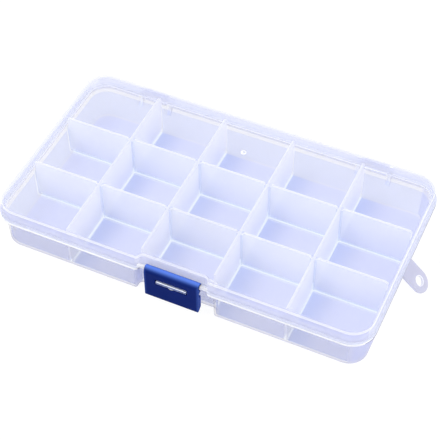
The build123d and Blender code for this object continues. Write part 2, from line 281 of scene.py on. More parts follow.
def frosted(name, colour, clear, gleam=0.0, roughness=0.35, stain=0.12, specular=0.5, lines=False):
    """Milky plastic: part clear, part lit from its front, part lit from behind, and part gleam.

    The clear part takes up some of the colour as its stain. Haze, colour and polish drift a little
    over a moulding, and its skin is faintly uneven."""
    material = bpy.data.materials.new(name)
    material.use_nodes = True
    tree = material.node_tree
    tree.nodes.clear()
    place = tree.nodes.new("ShaderNodeTexCoord").outputs["Object"]
    cloud = noise(tree, place, CLOUD_SCALE)
    grain = noise(tree, place, GRAIN_SCALE)
    darker = (*[part * (1 - TINT_DRIFT) for part in colour], 1.0)
    lighter = (*[min(part * (1 + TINT_DRIFT), 1.0) for part in colour], 1.0)
    tint = mixed(tree, cloud, darker, lighter)
    haze = scaled(tree, cloud, NOISE_LOW, NOISE_HIGH, clear - HAZE_DRIFT, clear + HAZE_DRIFT)
    smooth = roughness * (1 - POLISH_DRIFT)
    rough = roughness * (1 + POLISH_DRIFT)
    polish = scaled(tree, grain, NOISE_LOW, NOISE_HIGH, smooth, rough)
    body = tree.nodes.new("ShaderNodeBsdfPrincipled")
    body.inputs["IOR"].default_value = PLASTIC_IOR
    body.inputs["Specular IOR Level"].default_value = specular
    coat(tree, body, tint, polish, grain, SKIN_STRENGTH, SKIN_DEPTH)
    glow = tree.nodes.new("ShaderNodeBsdfTranslucent")
    tree.links.new(tint, glow.inputs["Color"])
    milky = blended(tree, LIT_FROM_BEHIND, body.outputs[0], glow.outputs[0])
    if gleam:
        shine = tree.nodes.new("ShaderNodeBsdfAnisotropic")
        shine.inputs["Color"].default_value = GLEAM_COLOUR
        shine.inputs["Roughness"].default_value = GLEAM_ROUGHNESS
        milky = blended(tree, gleam, milky, shine.outputs[0])
    clear_colour = (*[1 - (1 - part) * stain for part in colour], 1.0)
    # Painted light lines along the feet, and painted shade on the floor right of each partition.
    if lines:
        near, shade = foot_lines(tree, place)
        clear_colour = mixed(tree, shade, clear_colour, SHADE_COLOUR, blend="MULTIPLY")
        clear_colour = mixed(tree, near, clear_colour, PAINTED_FOOT_LIGHT)
        haze = mixed(tree, near, haze, LINE_CLEAR, kind="FLOAT")
    clear_part = tree.nodes.new("ShaderNodeBsdfTransparent")
    join(tree, clear_colour, clear_part.inputs["Color"])
    show(tree, blended(tree, haze, milky, clear_part.outputs[0]))
    return material


# Zones of the tray, each with its own finish, in the same order.
WALL, EDGE, FLOOR, FACE, SOFT, INNER, FOOT, SIDE, THROUGH, NOSE, TIP, RIM, RIGHT = range(13)
tray_finish = [
    frosted("tray_wall", (0.78, 0.76, 0.77), clear=0.80, stain=0.28, specular=0.2),
    # The edge finish is whiter and nearly opaque: a painted highlight on the rounded edges.
    frosted("tray_edge_highlight", (0.995, 0.995, 1.0), clear=0.06, gleam=0.45, roughness=0.25),
    frosted("tray_floor", (0.755, 0.785, 0.98), clear=0.76, stain=0.40, lines=True),
    frosted("tray_partition", (0.995, 0.995, 1.0), clear=0.34, gleam=0.14),
    frosted("tray_soft_edge", (0.92, 0.925, 0.98), clear=0.25, gleam=0.08),
    frosted("tray_inner_wall", (0.82, 0.855, 1.0), clear=0.77, stain=1.0),
    # The foot finish is pale and nearly clear: at the feet it paints a light line where the bright table
    # shows through.
    frosted("tray_foot_light_line", (0.95, 0.97, 1.0), clear=0.88, stain=1.0),
    # The side finish is darker and greyer: painted shade on faces that turn right or down, under the
    # flange and on the tab.
    frosted("tray_side_shade", (0.72, 0.72, 0.83), clear=0.33, specular=0.2),
    frosted("tray_front_inside", (0.895, 0.905, 0.935), clear=0.88, stain=1.0),
    frosted("tray_tongue", (0.86, 0.92, 1.0), clear=0.04, gleam=0.35),
    # The tongue tip finish is dark blue-grey: painted shade under the latch.
    frosted("tray_tongue_painted_shade", (0.30, 0.36, 0.62), clear=0.05),
    # The inner rim finish is white, clear and unstained: a painted light band along the rim.
    frosted("tray_inner_rim_highlight", (0.995, 1.0, 1.0), clear=0.80, gleam=0.5, stain=0.0),
    # The right rim finish is dark grey: a painted shadow line along the flange's right side.
    frosted("tray_right_rim_shadow", (0.42, 0.42, 0.48), clear=0.15, specular=0.2),
]


def arc(centre, radius, start, end, steps):
    """Points of an arc, with its angles in degrees."""
    turns = [math.radians(start + (end - start) * i / steps) for i in range(steps + 1)]
    return [(centre[0] + radius * math.cos(t), centre[1] + radius * math.sin(t)) for t in turns]


def circle(centre, radius, sides):
    """Points round a full circle."""
    return arc(centre, radius, 0, 360 - 360 / sides, sides - 1)


def level(radius, z, recess):
    """One height of a moulding: how far its wall is from the corner centres, and its recess."""
    return {"radius": radius, "z": z, **recess}


def inset(plan, amount, z):
    """The same plan moved inwards all round, at another height."""
    slide = amount * math.tan(math.radians(plan["lean"] / 2))
    return {
        "radius": plan["radius"] - amount,
        "z": z,
        "half": plan["half"] + slide,
        "back": plan["back"] + amount,
        "outer": max(plan["outer"] - amount, SHARPEST_CORNER),
        "inner": max(plan["inner"] + amount, SHARPEST_CORNER),
        "lean": plan["lean"],
    }


def rounded(plan, size, middle_inset, middle_z, start, end, steps=4):
    """Levels round an edge: 0 degrees faces outwards, 90 up, 180 inwards and -90 down."""
    turns = [math.radians(start + (end - start) * i / steps) for i in range(steps + 1)]
    return [inset(plan, middle_inset - size * math.cos(t), middle_z + size * math.sin(t)) for t in turns]


def ring(plan):
    """Points round one level, with the recess in the middle of the front."""
    front = -(CORNER_Y + plan["radius"])
    lean = plan["lean"]
    half_turn = math.tan(math.radians(lean / 2))
    mouth = plan["half"] + (plan["back"] - front) / math.tan(math.radians(lean))
    out_x = mouth + plan["outer"] * half_turn
    in_x = plan["half"] - plan["inner"] * half_turn
    out_y = front + plan["outer"]
    in_y = plan["back"] - plan["inner"]
    points = arc((-out_x, out_y), plan["outer"], -90, lean - 90, JOG_STEPS)
    points += arc((-in_x, in_y), plan["inner"], lean + 90, 90, JOG_STEPS)
    points += arc((in_x, in_y), plan["inner"], 90, 90 - lean, JOG_STEPS)
    points += arc((out_x, out_y), plan["outer"], -90 - lean, -90, JOG_STEPS)
    for x, y, start in ((1, -1, -90), (1, 1, 0), (-1, 1, 90), (-1, -1, 180)):
        points += arc((x * CORNER_X, y * CORNER_Y), plan["radius"], start, start + 90, CORNER_STEPS)
    return [(x, y, plan["z"]) for x, y in points]


def new_object(name, shape, materials):
    """Object of a form drawn in millimetres, at the origin."""
    bmesh.ops.remove_doubles(shape, verts=shape.verts, dist=SAME_POINT)
    bmesh.ops.recalc_face_normals(shape, faces=shape.faces)
    mesh = bpy.data.meshes.new(name)
    shape.to_mesh(mesh)
    shape.free()
    mesh.transform(Matrix.Scale(MM, 4))
    for material in materials:
        mesh.materials.append(material)
    made = bpy.data.objects.new(name, mesh)
    scene.collection.objects.link(made)
    return made


def loft(name, first, strips, materials):
    """Closed form through levels. The end it starts with has the zone called first.

    Each strip gives its levels, their zone, and the zone of the faces up to the next strip."""
    shape = bmesh.new()
    before = None
    zone = first
    for levels, own, following in strips:
        for plan in levels:
            row = [shape.verts.new(point) for point in ring(plan)]
            if before is None:
                shape.faces.new(row).material_index = first
                zone = own
            else:
                for j, corner in enumerate(row):
                    k = (j + 1) % len(row)
                    shape.faces.new((before[j], before[k], row[k], corner)).material_index = zone
                zone = own
            before = row
        zone = following
    shape.faces.new(before).material_index = zone
    return new_object(name, shape, materials)


def slab(name, outline, low, high, along, materials, face=0, side=None, rim=0):
    """Plate of an outline, from one place to another along an axis.

    Its two faces share a zone, its side can have another, and its rims can be rounded."""
    side = face if side is None else side
    order = {"X": (2, 0, 1), "Y": (0, 2, 1), "Z": (0, 1, 2)}[along]
    shape = bmesh.new()
    ends = []
    for place in (low, high):
        points = [(*point, place) for point in outline]
        ends.append([shape.verts.new([point[i] for i in order]) for point in points])
    for end in ends:
        shape.faces.new(end).material_index = face
    for j in range(len(outline)):
        k = (j + 1) % len(outline)
        shape.faces.new((ends[0][j], ends[0][k], ends[1][k], ends[1][j])).material_index = side
    bmesh.ops.recalc_face_normals(shape, faces=shape.faces)
    if rim:
        caps = set(ends[0]), set(ends[1])
        rims = [e for e in shape.edges if any(set(e.verts) <= cap for cap in caps)]
        bmesh.ops.bevel(shape, geom=rims, offset=rim, segments=3, affect="EDGES", profile=0.5,
                        material=side, clamp_overlap=False)
    return new_object(name, shape, materials)


def band(piece, axis, low, high, zone):
    """Give a piece's faces between two places along an axis a zone of their own."""
    shape = bmesh.new()
    shape.from_mesh(piece.data)
    across = Vector([float(name == axis) for name in "XYZ"])
    for place in (low, high):
        whole = shape.verts[:] + shape.edges[:] + shape.faces[:]
        bmesh.ops.bisect_plane(shape, geom=whole, dist=SAME_PLANE, plane_co=across * place * MM,
                               plane_no=across)
    for face in shape.faces:
        if low < face.calc_center_median().dot(across) / MM < high:
            face.material_index = zone
    shape.to_mesh(piece.data)
    shape.free()


def settle(piece):
    """Turn what a piece's modifiers make into its plain mesh."""
    view = bpy.context.evaluated_depsgraph_get()
    made = bpy.data.meshes.new_from_object(piece.evaluated_get(view), depsgraph=view)
    piece.modifiers.clear()
    piece.data = made


def combine(body, tool, operation="UNION"):
    """Fuse a form with a body, or cut it away, and drop the form."""
    step = body.modifiers.new("step", "BOOLEAN")
    step.solver = "MANIFOLD"
    step.operation = operation
    step.material_mode = "TRANSFER"
    step.object = tool
    settle(body)
    bpy.data.objects.remove(tool)


# How far a face has to turn back, right, or down at the front, to get a finish of its own.
INSIDE_FRONT = 0.9
FLANGE_RIGHT = 0.8
WALL_RIGHT = 0.3
FRONT_CURVE = 0.2

bottom = level(R_BASE_BOTTOM, 0, BAY)
flange = level(R_LIP, 0, RECESS)
upstand = level(R_BASE_RIM, 0, UPSTAND_BAY)
rim_inside = level(R_CAVITY_RIM, 0, BAY_INSIDE)
floor_edge = level(R_CAVITY_FLOOR, 0, BAY_INSIDE)
tray = loft("clear_tray", FLOOR, [
    (rounded(bottom, BOTTOM_ROUND, BOTTOM_ROUND, BOTTOM_ROUND, -90, 0, steps=6), WALL, WALL),
    # The flange's underside takes the side finish, a painted shade.
    ([level(R_BASE_RIM, FLANGE_LOW, BAY)], WALL, SIDE),
    (rounded(flange, RIM_ROUND, RIM_ROUND, FLANGE_LOW + RIM_ROUND, -90, 0), SIDE, EDGE),
    (rounded(flange, RIM_ROUND, RIM_ROUND, PARTING - RIM_ROUND, 0, 90), EDGE, EDGE),
    ([level(R_BASE_RIM, PARTING, UPSTAND_BAY)], EDGE, EDGE),
    (rounded(upstand, RIM_ROUND, RIM_ROUND, RIM_TOP - RIM_ROUND, 0, 90), EDGE, EDGE),
    # The upstand's inner round, down to the bright rim's low edge, takes the painted light band.
    (rounded(rim_inside, RIM_ROUND, -RIM_ROUND, RIM_TOP - RIM_ROUND, 90, 180), RIM, RIM),
    ([level(R_CAVITY_RIM, BRIGHT_RIM_LOW, BAY_INSIDE)], RIM, INNER),
    (rounded(floor_edge, FLOOR_ROUND, FLOOR_ROUND, FLOOR_TOP + FLOOR_ROUND, 0, -90), INNER, FLOOR),
], tray_finish)
for face in tray.data.polygons:
    zone = face.material_index
    right = face.normal.x
    if zone == INNER and face.normal.y > INSIDE_FRONT:
        face.material_index = THROUGH
    # Painted shadow: the flange's right face below the parting takes the dark grey right rim finish.
    elif zone == EDGE and right > FLANGE_RIGHT and face.center.z < PARTING * MM:
        face.material_index = RIGHT
    # Painted shade: wall faces that turn right, or down at the front, take the darker side finish.
    elif zone == WALL and (right > WALL_RIGHT or max(face.normal.y, face.normal.z) < -FRONT_CURVE):
        face.material_index = SIDE

# Compartment grid: four full-depth partitions and the paired slot ribs that hold the dividers.
# They are moulded in one with the tray. Each form is made once, and a node tree sets it out on a grid.
ROOT = 0.3
PARTITION_TOP = 23.0
PARTITION_DRAFT = 0.25
PARTITION_ROUND = 2.0
PARTITION_RIM = 0.3
PARTITION_REACH = 45.65
PARTITION_INSET = 45.2
BAY_WALL_MIDDLE = -41.65
FOOT_FLARE = 0.45
FOOT_BAND = 1.0
SLOT_WIDTH = 1.2
RIB_WIDTH = 0.8
RIB_PROUD = 0.9
RIB_TOP = 21.6
RIB_RIM = 0.2
END_RIB_MIDDLE = 84.05
END_RIB_REACH = 1.0

repeat = bpy.data.node_groups.new("set_out_on_grid", "GeometryNodeTree")
for name, kind in (
    ("Form", "Geometry"),
    ("Columns", "Int"),
    ("Rows", "Int"),
    ("Column pitch", "Float"),
    ("Row pitch", "Float"),
    ("Face finish", "Material"),
    ("Top finish", "Material"),
    ("Foot finish", "Material"),
):
    repeat.interface.new_socket(name, in_out="INPUT", socket_type=f"NodeSocket{kind}")
repeat.interface.new_socket("Moulding", in_out="OUTPUT", socket_type="NodeSocketGeometry")
nodes = repeat.nodes
links = repeat.links
given = nodes.new("NodeGroupInput").outputs
places = nodes.new("GeometryNodeMeshGrid")
for count, pitch, size, number in (
    ("Columns", "Column pitch", "Size X", "Vertices X"),
    ("Rows", "Row pitch", "Size Y", "Vertices Y"),
):
    gaps = reckoned(repeat, "SUBTRACT", given[count], 1.0)
    links.new(reckoned(repeat, "MULTIPLY", gaps, given[pitch]), places.inputs[size])
    links.new(given[count], places.inputs[number])
copies = nodes.new("GeometryNodeInstanceOnPoints")
links.new(places.outputs["Mesh"], copies.inputs["Points"])
links.new(given["Form"], copies.inputs["Instance"])
realised = nodes.new("GeometryNodeRealizeInstances")
links.new(copies.outputs["Instances"], realised.inputs["Geometry"])
painted = nodes.new("GeometryNodeSetMaterial")
links.new(realised.outputs["Geometry"], painted.inputs["Geometry"])
links.new(given["Face finish"], painted.inputs["Material"])
for name in ("Top", "Foot"):
    chosen = nodes.new("GeometryNodeInputNamedAttribute")
    chosen.data_type = "BOOLEAN"
    chosen.inputs["Name"].default_value = name
    layer = nodes.new("GeometryNodeSetMaterial")
    links.new(painted.outputs["Geometry"], layer.inputs["Geometry"])
    links.new(chosen.outputs["Attribute"], layer.inputs["Selection"])
    links.new(given[f"{name} finish"], layer.inputs["Material"])
    painted = layer
links.new(painted.outputs["Geometry"], nodes.new("NodeGroupOutput").inputs["Moulding"])


def set_out(form, columns, rows, column_pitch, row_pitch, finish=FACE):
    """Repeat a form on a grid about the origin, and turn the result into a plain mesh."""
    for name, zone in (("Top", SOFT), ("Foot", FOOT)):
        flags = form.data.attributes.new(name, "BOOLEAN", "FACE")
        flags.data.foreach_set("value", [face.material_index == zone for face in form.data.polygons])
    form.data.materials.clear()
    names = {item.name: item.identifier for item in repeat.interface.items_tree}
    grid = form.modifiers.new("grid", "NODES")
    grid.node_group = repeat
    for name, value in (
        ("Columns", columns),
        ("Rows", rows),
        ("Column pitch", column_pitch * MM),
        ("Row pitch", row_pitch * MM),
        ("Face finish", tray_finish[finish]),
        ("Top finish", tray_finish[SOFT]),
        ("Foot finish", tray_finish[FOOT]),
    ):
        grid[names[name]] = value
    settle(form)
    return form


def thin_towards_top(wall):
    """Moulding draft of a partition, which stands on the Y axis."""
    for corner in wall.data.vertices:
        lost = (corner.co.z / MM - FLOOR_TOP + ROOT) * math.tan(math.radians(PARTITION_DRAFT))
        corner.co.x *= 1 - 2 * lost / PARTITION_FOOT


def partition(front_low, front_high):
    """One partition, with the flared foot that meets the floor.

    Its front end reaches front_low up to the parting line, and front_high above it."""
    low = FLOOR_TOP - ROOT
    top = [(front_high, PARTITION_TOP), (front_high, PARTING), (front_low, PARTING)]
    if front_low == front_high:
        top = [(front_high, PARTITION_TOP)]
    corner = arc((PARTITION_INSET - PARTITION_ROUND, PARTITION_TOP - PARTITION_ROUND),
                 PARTITION_ROUND, 0, 90, JOG_STEPS)
    outline = [(front_low, low), (PARTITION_REACH, low), (PARTITION_REACH, PARTING),
               (PARTITION_INSET, PARTING)] + corner + top
    half = PARTITION_FOOT / 2
    wall = slab("partition", outline, -half, half, "X", tray_finish, FACE, SOFT, rim=PARTITION_RIM)
    band(wall, "Z", low, FLOOR_TOP + FOOT_BAND, FOOT)
    thin_towards_top(wall)
    reach = half + FOOT_FLARE
    flare = arc((reach, FLOOR_TOP + FOOT_FLARE), FOOT_FLARE, 180, 270, JOG_STEPS)
    section = flare + [(reach, low), (-reach, low)] + [(-x, z) for x, z in reversed(flare)]
    foot = slab("foot", section, front_low + ROOT, PARTITION_INSET, "Y", tray_finish, FOOT)
    combine(wall, foot)
    return wall


def rib_pair(half, top):
    """Two ribs with the slot for a divider between them."""
    low = FLOOR_TOP - ROOT
    pair = None
    for side in (-1, 1):
        near = side * SLOT_WIDTH / 2
        far = side * (SLOT_WIDTH / 2 + RIB_WIDTH)
        outline = [(-half, low), (half, low), (half, top), (-half, top)]
        rib = slab("rib", outline, min(near, far), max(near, far), "Y", tray_finish, FACE, rim=RIB_RIM)
        if pair is None:
            pair = rib
        else:
            combine(pair, rib)
    return pair


outer_partitions = set_out(partition(-PARTITION_REACH, -PARTITION_INSET),
                           columns=2, rows=1, column_pitch=3 * COLUMN_PITCH, row_pitch=0)
inner_partitions = set_out(partition(BAY_WALL_MIDDLE, BAY_WALL_MIDDLE),
                           columns=2, rows=1, column_pitch=COLUMN_PITCH, row_pitch=0)
slot_ribs = set_out(rib_pair(PARTITION_FOOT / 2 + RIB_PROUD, RIB_TOP), finish=FOOT,
                    columns=4, rows=2, column_pitch=COLUMN_PITCH, row_pitch=ROW_PITCH)
end_ribs = set_out(rib_pair(END_RIB_REACH / 2, PARTING), finish=FOOT,
                   columns=2, rows=2, column_pitch=2 * END_RIB_MIDDLE, row_pitch=ROW_PITCH)
for moulding in (outer_partitions, inner_partitions, slot_ribs, end_ribs):
    combine(tray, moulding)

# Catch tongue: a rounded nose in the latch bay that the latch's slot drops over.
# The pip under its nose gives the latch its snap. It is moulded in one with the tray, and only
# its top is bright: the rest has a dark blue-grey finish, a painted shade for the latch's shadow.
TONGUE_HALF = 7.1
TONGUE_LOW = 12.7
TONGUE_THICK = 1.6
TONGUE_TIP = -49.4
TONGUE_ROOT = -41.9
TONGUE_RIM = 0.3
TONGUE_SHADED = 1.35
PIP_R = 1.9
PIP_DROP = 0.4
PIP_BACK = 0.15
PIP_REACH = 0.6
PIP_RIM = 0.2
PAST = 0.1
tongue_middle = TONGUE_LOW + TONGUE_THICK / 2
nose = TONGUE_TIP + TONGUE_THICK / 2
outline = [(TONGUE_ROOT, TONGUE_LOW + TONGUE_THICK)]
outline += arc((nose, tongue_middle), TONGUE_THICK / 2, 90, 270, steps=12)
outline += [(TONGUE_ROOT, TONGUE_LOW)]
tongue = slab("tongue", outline, -TONGUE_HALF, TONGUE_HALF, "X", tray_finish, NOSE, rim=TONGUE_RIM)
# Painted shade: all but the tongue's top takes the dark tip finish.
band(tongue, "Z", TONGUE_LOW - PAST, TONGUE_LOW + TONGUE_SHADED, TIP)
pip_middle = TONGUE_LOW - PIP_DROP + PIP_R
spread = math.degrees(math.acos((pip_middle - tongue_middle) / PIP_R))
outline = arc((0, pip_middle), PIP_R, -90 - spread, spread - 90, steps=12)
pip = slab("pip", outline, TONGUE_TIP + PIP_BACK, nose + PIP_REACH, "Y", tray_finish, NOSE, rim=PIP_RIM)
combine(tongue, pip)
combine(tray, tongue)

# Hinge ears: two pairs on the back wall, each pair with a moulded pin that the lid's clips snap over.
# The flange is notched beside each pair, so that the clips can swing through.
HINGE_X = 55.0
HINGE_Y = 50.0
PIN_R = 1.25
PIN_ROOT = 0.2
CLIP_HALF = 6.0
EAR_GAP = 0.4
EAR_THICK = 2.2
EAR_R = 2.0
EAR_DROP = 6.5
EAR_SLOPE = 35
EAR_FOOT_Y = 46.45
EAR_RIM = 0.3
NOTCH_Y = 47.2
NOTCH_GAP = 0.6
NOTCH_LOW = 15
NOTCH_HIGH = 20
hinge_middle = (HINGE_Y, PARTING)
ear_inner = CLIP_HALF + EAR_GAP
outline = [(EAR_FOOT_Y, PARTING - EAR_DROP)]
outline += arc(hinge_middle, EAR_R, EAR_SLOPE - 90, 180, steps=20)
outline += [(HINGE_Y - EAR_R, PARTING - ROOT), (EAR_FOOT_Y, PARTING - ROOT)]
notch_half = ear_inner + EAR_THICK + NOTCH_GAP


def hinge_notch(piece, x, inside, low, high, materials):
    """Cut room for the clips out of a piece's back rim."""
    corners = [(inside, low), (HINGE_Y, low), (HINGE_Y, high), (inside, high)]
    notch = slab("notch", corners, x - notch_half, x + notch_half, "X", materials, EDGE)
    combine(piece, notch, "DIFFERENCE")


for x in (-HINGE_X, HINGE_X):
    hinge_notch(tray, x, NOTCH_Y, NOTCH_LOW, NOTCH_HIGH, tray_finish)
    for low in (x - ear_inner - EAR_THICK, x + ear_inner):
        ear = slab("ear", outline, low, low + EAR_THICK, "X", tray_finish, WALL, EDGE, rim=EAR_RIM)
        combine(tray, ear)
    pin_outline = circle(hinge_middle, PIN_R, sides=16)
    pin_half = ear_inner + PIN_ROOT
    combine(tray, slab("pin", pin_outline, x - pin_half, x + pin_half, "X", tray_finish, WALL))

# Hanging tab: a tongue with a round hole, which droops from the flange at the right end.
# It is moulded flat with the flange, in the same plastic, and its thin root has taken a bend.
TAB_WIDTH = 10.8
TAB_REACH = 8.8
TAB_THICK = 1.2
TAB_HOLE_R = 2.2
TAB_DROOP = 43
TAB_RIM = 0.3
TAB_ROOT = (87.3, 0, 17.3)
SHARP_TURN = 40
tab_bend = Matrix.Translation(Vector(TAB_ROOT) * MM) @ Matrix.Rotation(math.radians(TAB_DROOP), 4, "Y")
outline = [(0, TAB_WIDTH / 2), (0, -TAB_WIDTH / 2)]
outline += arc((TAB_REACH, 0), TAB_WIDTH / 2, -90, 90, steps=24)
# The tab takes the darker side finish, a painted shade.
tab = slab("tab", outline, -TAB_THICK, 0, "Z", tray_finish, SIDE, rim=TAB_RIM)
hole_mouth = TAB_HOLE_R + TAB_RIM
mouth_round = arc((hole_mouth, 0), TAB_RIM, 90, 180, steps=4)
hole_profile = [(hole_mouth, PAST), (hole_mouth, 0)]
hole_profile += [(x, z - TAB_RIM) for x, z in mouth_round]
hole_profile += [(x, TAB_RIM - TAB_THICK - z) for x, z in reversed(mouth_round)]
hole_profile += [(hole_mouth, -TAB_THICK - PAST)]


def turned(name, profile, centre, sides, materials, zone):
    """Round form about an upright axis, from a profile of radius and height."""
    shape = bmesh.new()
    rows = []
    for radius, z in profile:
        rows.append([shape.verts.new((x, y, z)) for x, y in circle(centre, radius, sides)])
    for low, high in zip(rows, rows[1:]):
        for j in range(sides):
            k = (j + 1) % sides
            shape.faces.new((low[j], low[k], high[k], high[j])).material_index = zone
    shape.faces.new(rows[0]).material_index = zone
    shape.faces.new(rows[-1]).material_index = zone
    return new_object(name, shape, materials)


combine(tab, turned("hole", hole_profile, (TAB_REACH, 0), 32, tray_finish, EDGE), "DIFFERENCE")
tab.data.transform(tab_bend)
combine(tray, tab)


def finish_mesh(piece):
    """Smooth the rounded edges, keep flat faces flat, and leave a plain mesh."""
    piece.data.shade_smooth()
    piece.data.set_sharp_from_angle(angle=math.radians(SHARP_TURN))
    even = piece.modifiers.new("even", "WEIGHTED_NORMAL")
    even.keep_sharp = True
    settle(piece)


# The tab is the last of the tray's mouldings.
finish_mesh(tray)
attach(tray, "tray")
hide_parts("base")

# Lid: the cover, one thin moulding of clearer plastic, with a drafted skirt and a lip that lands
# on the flange. Its recess leaves room for the latch, and two clips snap over the tray's pins.
LID_LOW = 17.5
TOP = 24.5
LIP_THICK = 0.9
LIP_ROUND = 0.25
R_SKIRT = 10.3
SKIRT_DRAFT = 0.5
SKIRT_WALL = 1.0
LID_PLATE = 1.1
LID_ROUND = 0.7
LID_INNER_ROUND = 0.5
LID_EDGE_LINE = 0.8
LIP_NOTCH_LOW = 17
LIP_NOTCH_HIGH = 19
FRONT_TURN = 0.5
OUTWARD_TURN = 0.7

# Zones of the lid. Its first two are the tray's WALL and EDGE.
LID_TOP, LID_SOFT, LID_LIP, LID_FRONT, LID_SIDE = range(2, 7)
lid_finish = [
    frosted("lid_wall", (0.80, 0.82, 0.97), clear=0.64, roughness=0.25, specular=0.3),
    # The edge finish, and the soft edge finish below, are whiter and less clear: painted highlights on
    # rounded edges.
    frosted("lid_edge_highlight", (0.99, 0.99, 1.0), clear=0.15, gleam=0.45, roughness=0.25),
    frosted("lid_plate", (0.95, 0.96, 1.0), clear=0.95, roughness=0.15),
    frosted("lid_soft_edge_highlight", (0.98, 0.98, 1.0), clear=0.35, gleam=0.15, roughness=0.25),
    frosted("lid_lip", (0.80, 0.83, 0.95), clear=0.25),
    # The front and side finishes are darker and greyer than the wall: painted shade on the skirt.
    frosted("lid_front_shade", (0.76, 0.775, 0.92), clear=0.62, roughness=0.25, stain=0.33, specular=0.3),
    frosted("lid_side_shade", (0.75, 0.77, 0.89), clear=0.45, roughness=0.25, stain=0.2, specular=0.3),
]

skirt = level(R_SKIRT, 0, RECESS)
lip = level(R_LIP, 0, RECESS)


def skirt_at(z, thickness=0.0):
    """The skirt's outer face at a height, or its inner face."""
    return inset(skirt, thickness + SKIRT_DRAFT * (z - LID_LOW) / (TOP - LID_LOW), z)


plate_low = TOP - LID_PLATE
lip_top = LID_LOW + LIP_THICK
top_edge = skirt_at(TOP)
top_middle = TOP - LID_ROUND
inner_edge = skirt_at(plate_low, SKIRT_WALL)
inner_middle = plate_low - LID_INNER_ROUND
# The top round and a band just below it take the soft edge finish, a painted highlight line, and the
# lip's underside the edge finish, a painted highlight.
lid = loft("clear_lid", LID_TOP, [
    (rounded(top_edge, LID_ROUND, LID_ROUND, top_middle, 90, 45, steps=3), LID_TOP, LID_SOFT),
    (rounded(top_edge, LID_ROUND, LID_ROUND, top_middle, 30, 0, steps=2), LID_SOFT, LID_SOFT),
    ([skirt_at(top_middle - LID_EDGE_LINE)], LID_SOFT, WALL),
    ([skirt_at(lip_top)], WALL, LID_LIP),
    (rounded(lip, LIP_ROUND, LIP_ROUND, lip_top - LIP_ROUND, 90, 0), LID_LIP, LID_LIP),
    (rounded(lip, LIP_ROUND, LIP_ROUND, LID_LOW + LIP_ROUND, 0, -90), EDGE, EDGE),
    ([skirt_at(LID_LOW, SKIRT_WALL)], EDGE, WALL),
    (rounded(inner_edge, LID_INNER_ROUND, LID_INNER_ROUND, inner_middle, 0, 90), WALL, LID_TOP),
], lid_finish)
# Painted shade: skirt faces that turn to the front take the darker front finish, and those that turn
# right or back the greyer side finish.
for face in lid.data.polygons:
    if face.material_index == WALL:
        right_face = face.normal.x > OUTWARD_TURN and face.center.x > 0
        back_face = face.normal.y > OUTWARD_TURN and face.center.y > 0
        if abs(face.normal.y) > FRONT_TURN and face.center.y < 0:
            face.material_index = LID_FRONT
        elif right_face or back_face:
            face.material_index = LID_SIDE
for x in (-HINGE_X, HINGE_X):
    hinge_notch(lid, x, CORNER_Y + R_SKIRT, LIP_NOTCH_LOW, LIP_NOTCH_HIGH, lid_finish)

# Hinge clips: open barrels on the lid's back, narrower at the mouth than the pin they snap over.
# They are moulded in one with the lid, and their mouths face back and down.
CLIP_R = 2.3
CLIP_BORE = 1.33
CLIP_MOUTH = 2.0
CLIP_MOUTH_TURN = -50
CLIP_ROOT_Y = 47.5
CLIP_RIM = 0.2
outer_gap = math.degrees(math.asin(CLIP_MOUTH / 2 / CLIP_R))
inner_gap = math.degrees(math.asin(CLIP_MOUTH / 2 / CLIP_BORE))
root_turn = 180 - math.degrees(math.asin((LID_LOW - PARTING) / CLIP_R))
mouth_end = 360 + CLIP_MOUTH_TURN
outline = arc(hinge_middle, CLIP_R, CLIP_MOUTH_TURN + outer_gap, 90, steps=12)
outline += [(CLIP_ROOT_Y, PARTING + CLIP_R), (CLIP_ROOT_Y, LID_LOW)]
outline += arc(hinge_middle, CLIP_R, root_turn, mouth_end - outer_gap, steps=10)
outline += arc(hinge_middle, CLIP_BORE, mouth_end - inner_gap, CLIP_MOUTH_TURN + inner_gap, steps=20)
for x in (-HINGE_X, HINGE_X):
    clip = slab("clip", outline, x - CLIP_HALF, x + CLIP_HALF, "X", lid_finish, WALL, rim=CLIP_RIM)
    combine(lid, clip)

# Latch bar: a round bar moulded across the recess, in one with the lid.
# The latch's hook clips round it and turns on it.
BAR_Y = -47.1
BAR_Z = 18.8
BAR_R = 0.95
BAR_HALF = 16.3
bar_middle = (BAR_Y, BAR_Z)
bar_outline = circle(bar_middle, BAR_R, sides=24)
combine(lid, slab("bar", bar_outline, -BAR_HALF, BAR_HALF, "X", lid_finish, LID_SOFT))

# Gate mark: the small dished scar where the plastic entered the lid's mould.
# Its raised ring catches the light, and its whiter edge finish is a painted highlight. The dish inside
# is as clear as the plate.
GATE_Y = 26.6
GATE_R = 1.35
GATE_PROUD = 0.25
GATE_ROOT = 0.3
GATE_WALL = 0.1
GATE_CREST_OUT = 1.2
GATE_CREST_IN = 0.9
GATE_DISH_R = 0.55
GATE_DISH_PROUD = 0.05
GATE_MIDDLE = 0.1
GATE_CLEAR_R = 0.5
gate_profile = [
    (GATE_R, TOP - GATE_ROOT), (GATE_R, TOP + GATE_WALL), (GATE_CREST_OUT, TOP + GATE_PROUD),
    (GATE_CREST_IN, TOP + GATE_PROUD), (GATE_DISH_R, TOP + GATE_DISH_PROUD),
    (GATE_MIDDLE, TOP + GATE_DISH_PROUD),
]
gate = turned("gate", gate_profile, (0, GATE_Y), 24, lid_finish, EDGE)
for face in gate.data.polygons:
    if math.hypot(face.center.x, face.center.y - GATE_Y * MM) < GATE_CLEAR_R * MM:
        face.material_index = LID_TOP
combine(lid, gate)
finish_mesh(lid)
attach(lid, "cover")
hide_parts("lid")

